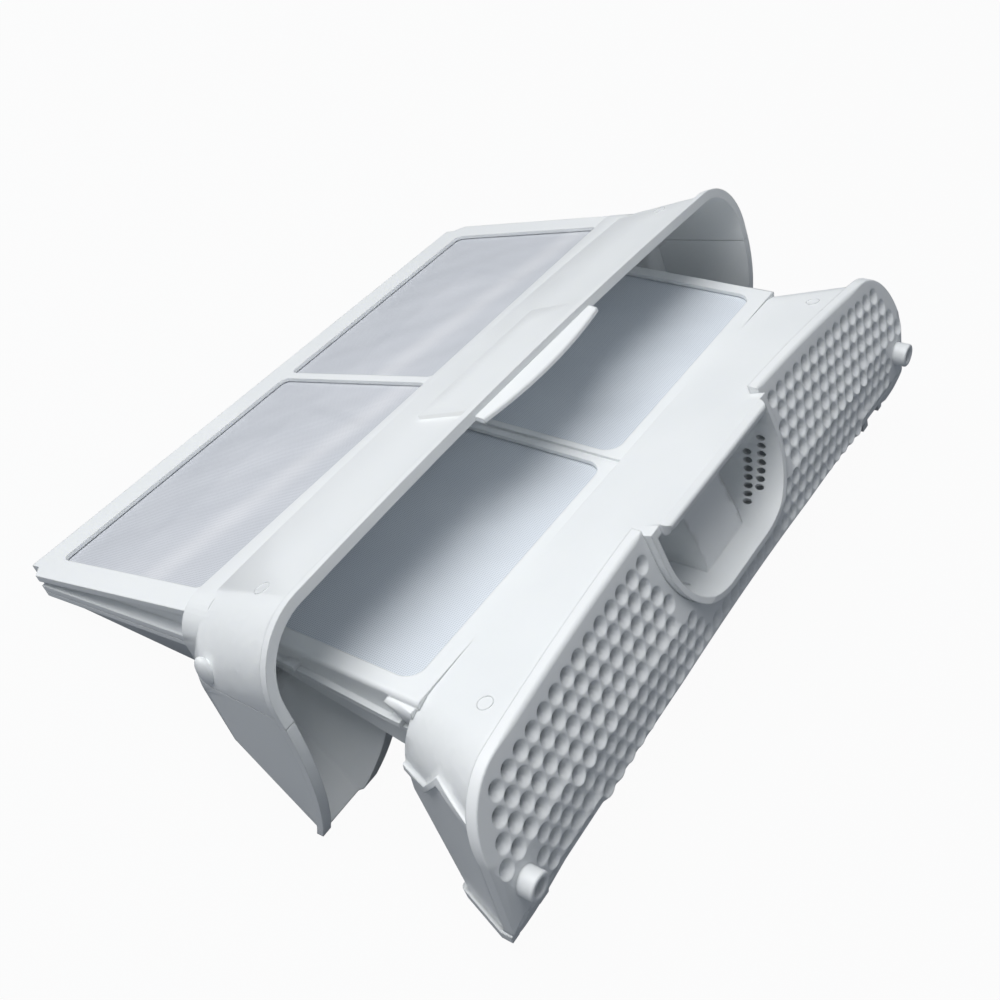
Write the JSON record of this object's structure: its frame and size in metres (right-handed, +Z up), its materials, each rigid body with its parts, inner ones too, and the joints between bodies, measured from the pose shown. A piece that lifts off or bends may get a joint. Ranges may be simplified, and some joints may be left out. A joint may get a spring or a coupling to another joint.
{
  "type": "tumble dryer lint filter",
  "caption": "White two-part lint filter of a tumble dryer: a mesh pouch with a flared collar, and a mesh insert with a perforated head and a finger grip, part drawn out.",
  "frame": {"origin": "on the surface it rests on, under the middle of its bounding box", "axes": "+X along the width, to the right seen from the grille; +Y back, from the grille to the rear edge of the outer pouch; +Z up"},
  "size_m": [0.281, 0.2106, 0.0823],
  "materials": {
    "white_plastic": "smooth moulded, slightly satin",
    "outer_mesh": "fine woven polyester mesh, pale grey",
    "inner_mesh": "fine woven polyester mesh, blue grey"
  },
  "bodies": {
    "outer_lower": {"outer_lower_frame": "white_plastic", "outer_lower_mesh_left": "outer_mesh", "outer_lower_mesh_right": "outer_mesh"},
    "outer_upper": {"outer_upper_frame": "white_plastic", "outer_upper_mesh_left": "outer_mesh", "outer_upper_mesh_right": "outer_mesh"},
    "inner": {"inner_upper_frame": "white_plastic", "inner_lower_frame": "white_plastic", "head_grille": "white_plastic", "grip_cup": "white_plastic", "inner_upper_mesh_left": "inner_mesh", "inner_upper_mesh_right": "inner_mesh", "inner_lower_mesh_left": "inner_mesh", "inner_lower_mesh_right": "inner_mesh"}
  },
  "joints": [
    {"name": "outer_fold", "type": "hinge", "parent": "outer_lower", "child": "outer_upper", "pos_m": [0, 0.10229, 0.00584], "axis": [-1, 0, 0], "range_deg": [0, 110]},
    {"name": "draw_out", "type": "hinge", "parent": "outer_lower", "child": "inner", "pos_m": [0, -0.0308, -0.20794], "axis": [1, 0, 0], "range_deg": [-12.5, 0]}
  ]
}
